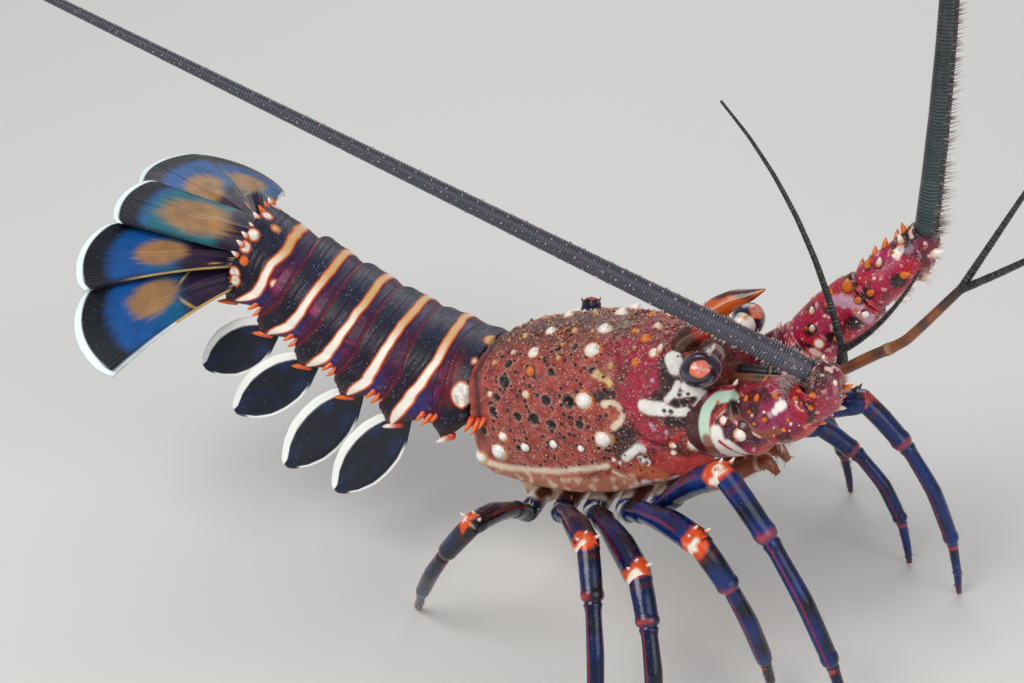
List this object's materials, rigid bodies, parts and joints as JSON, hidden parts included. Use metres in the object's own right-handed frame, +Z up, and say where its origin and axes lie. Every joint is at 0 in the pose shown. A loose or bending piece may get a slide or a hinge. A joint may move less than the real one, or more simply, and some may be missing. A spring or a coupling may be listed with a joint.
{
  "type": "spiny lobster",
  "caption": "Life-size still model of a banded spiny lobster standing on its legs, tail fan spread, one long feeler swept back and one raised.",
  "frame": {"origin": "bottom centre of the model's box, on the floor under the body", "axes": "+X towards the head, +Y to the animal's left, +Z up"},
  "size_m": [0.3191, 0.1863, 0.3713],
  "materials": {
    "carapace_shell": "satin, pitted",
    "abdomen_shell": "glossy, speckled",
    "fan_shell": "glossy",
    "swimmeret_shell": "glossy",
    "leg_shell": "glossy",
    "feeler_base_shell": "satin, spiny",
    "feeler_shell": "satin, ringed",
    "small_feeler_shell": "satin",
    "eye_surface": "high gloss",
    "horn_shell": "satin",
    "underside_shell": "satin"
  },
  "bodies": {
    "root": {"abdomen_1": "abdomen_shell", "abdomen_2": "abdomen_shell", "abdomen_3": "abdomen_shell", "abdomen_4": "abdomen_shell", "abdomen_5": "abdomen_shell", "abdomen_6": "abdomen_shell", "antenna_base_left": "feeler_base_shell", "antenna_base_right": "feeler_base_shell", "antenna_knuckle_left": "feeler_base_shell", "antenna_knuckle_right": "feeler_base_shell", "antenna_whip_far_left": "feeler_shell", "antenna_whip_far_right": "feeler_shell", "antenna_whip_near_left": "feeler_shell", "antenna_whip_near_right": "feeler_shell", "antennule_inner_left": "small_feeler_shell", "antennule_inner_right": "small_feeler_shell", "antennule_left": "small_feeler_shell", "antennule_right": "small_feeler_shell", "carapace": "carapace_shell", "eye_left": "eye_surface", "eye_right": "eye_surface", "horn_left": "horn_shell", "horn_right": "horn_shell", "inner_uropod_left": "fan_shell", "inner_uropod_right": "fan_shell", "jaw_foot_left": "underside_shell", "jaw_foot_right": "underside_shell", "leg_1_left_lower": "leg_shell", "leg_1_left_upper": "leg_shell", "leg_1_right_lower": "leg_shell", "leg_1_right_upper": "leg_shell", "leg_2_left_lower": "leg_shell", "leg_2_left_upper": "leg_shell", "leg_2_right_lower": "leg_shell", "leg_2_right_upper": "leg_shell", "leg_3_left_lower": "leg_shell", "leg_3_left_upper": "leg_shell", "leg_3_right_lower": "leg_shell", "leg_3_right_upper": "leg_shell", "leg_4_left_lower": "leg_shell", "leg_4_left_upper": "leg_shell", "leg_4_right_lower": "leg_shell", "leg_4_right_upper": "leg_shell", "leg_5_left_lower": "leg_shell", "leg_5_left_upper": "leg_shell", "leg_5_right_lower": "leg_shell", "leg_5_right_upper": "leg_shell", "outer_uropod_left": "fan_shell", "outer_uropod_right": "fan_shell", "sternum": "underside_shell", "swimmeret_2_left": "swimmeret_shell", "swimmeret_2_right": "swimmeret_shell", "swimmeret_3_left": "swimmeret_shell", "swimmeret_3_right": "swimmeret_shell", "swimmeret_4_left": "swimmeret_shell", "swimmeret_4_right": "swimmeret_shell", "swimmeret_5_left": "swimmeret_shell", "swimmeret_5_right": "swimmeret_shell", "telson": "fan_shell"}
  },
  "joints": []
}
